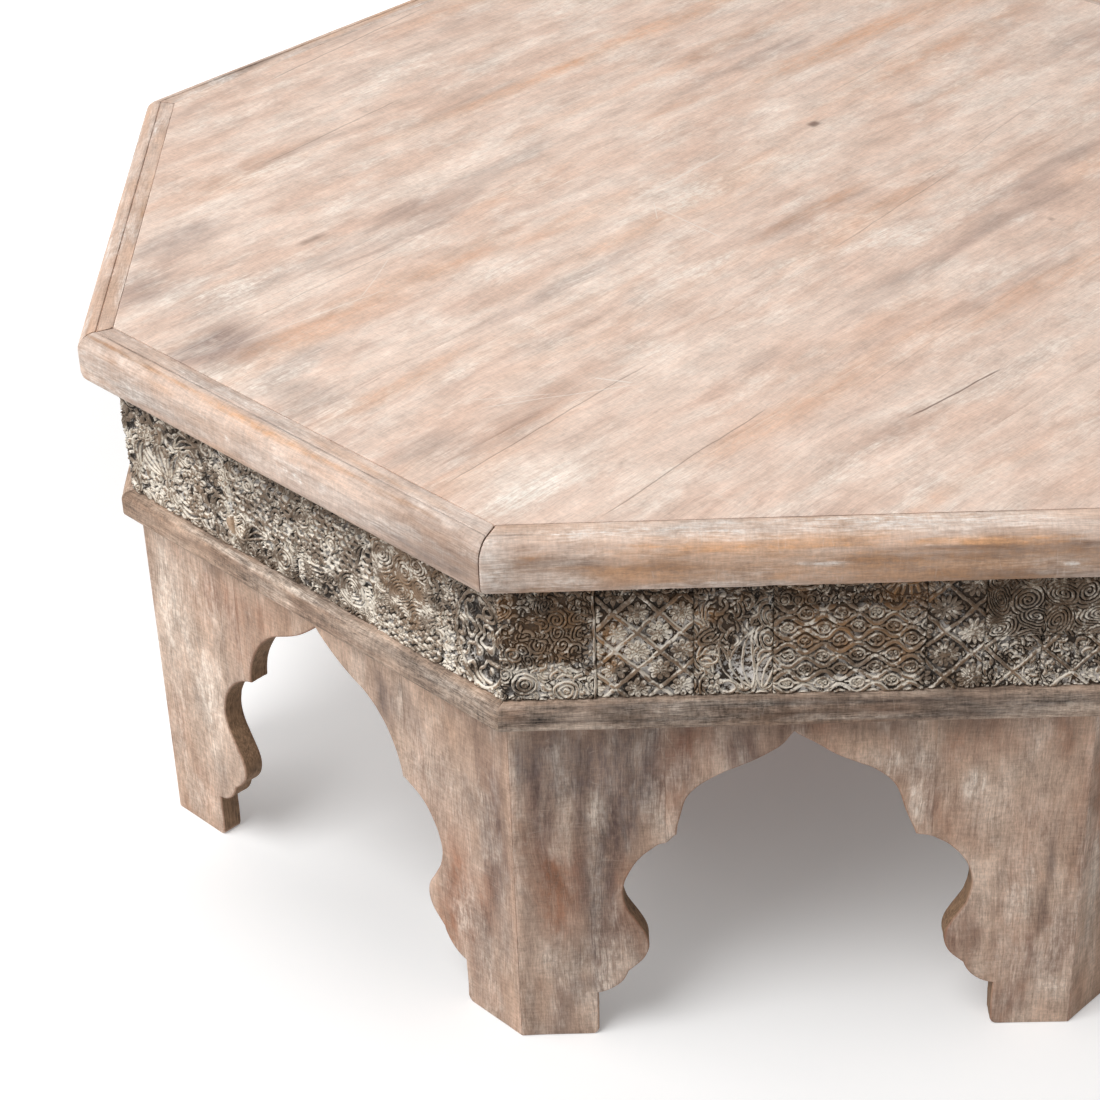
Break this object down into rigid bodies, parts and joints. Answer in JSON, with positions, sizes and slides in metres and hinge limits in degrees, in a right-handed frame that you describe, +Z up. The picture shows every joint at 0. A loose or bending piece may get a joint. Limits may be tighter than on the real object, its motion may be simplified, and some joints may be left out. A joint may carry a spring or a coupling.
{
  "type": "coffee table",
  "caption": "Low octagonal wooden coffee table with a plank top in a rounded edge lipping, a carved block frieze and arched leg panels.",
  "frame": {"origin": "on the floor, under the middle of the top", "axes": "+Z up; side 1 of the octagon faces -Y"},
  "size_m": [1.006, 1.006, 0.44],
  "materials": {
    "top_boards": "limed and waxed",
    "lipping": "limed and waxed, worn at the edges",
    "carving": "aged, with pale residue on dark wood",
    "leg_boards": "weathered, thinly limed",
    "waist_rail": "weathered, thinly limed",
    "inner_wood": "bare planed wood",
    "screw_steel": "zinc plated"
  },
  "bodies": {
    "root": {"top_plank_1": "top_boards", "top_plank_2": "top_boards", "top_plank_3": "top_boards", "top_plank_4": "top_boards", "top_plank_5": "top_boards", "top_plank_6": "top_boards", "top_plank_7": "top_boards", "top_plank_8": "top_boards", "edge_lipping_1": "lipping", "edge_lipping_2": "lipping", "edge_lipping_3": "lipping", "edge_lipping_4": "lipping", "edge_lipping_5": "lipping", "edge_lipping_6": "lipping", "edge_lipping_7": "lipping", "edge_lipping_8": "lipping", "apron_board_1": "inner_wood", "apron_board_2": "inner_wood", "apron_board_3": "inner_wood", "apron_board_4": "inner_wood", "apron_board_5": "inner_wood", "apron_board_6": "inner_wood", "apron_board_7": "inner_wood", "apron_board_8": "inner_wood", "carved_blocks_1": "carving", "carved_blocks_2": "carving", "carved_blocks_3": "carving", "carved_blocks_4": "carving", "carved_blocks_5": "carving", "carved_blocks_6": "carving", "carved_blocks_7": "carving", "carved_blocks_8": "carving", "waist_rail_1": "waist_rail", "waist_rail_2": "waist_rail", "waist_rail_3": "waist_rail", "waist_rail_4": "waist_rail", "waist_rail_5": "waist_rail", "waist_rail_6": "waist_rail", "waist_rail_7": "waist_rail", "waist_rail_8": "waist_rail", "leg_panel_1": "leg_boards", "leg_panel_2": "leg_boards", "leg_panel_3": "leg_boards", "leg_panel_4": "leg_boards", "leg_panel_5": "leg_boards", "leg_panel_6": "leg_boards", "leg_panel_7": "leg_boards", "leg_panel_8": "leg_boards", "corner_block_1": "inner_wood", "corner_block_2": "inner_wood", "corner_block_3": "inner_wood", "corner_block_4": "inner_wood", "corner_block_5": "inner_wood", "corner_block_6": "inner_wood", "corner_block_7": "inner_wood", "corner_block_8": "inner_wood", "top_batten_1": "inner_wood", "top_batten_2": "inner_wood", "top_batten_3": "inner_wood", "batten_screws": "screw_steel"}
  },
  "joints": []
}
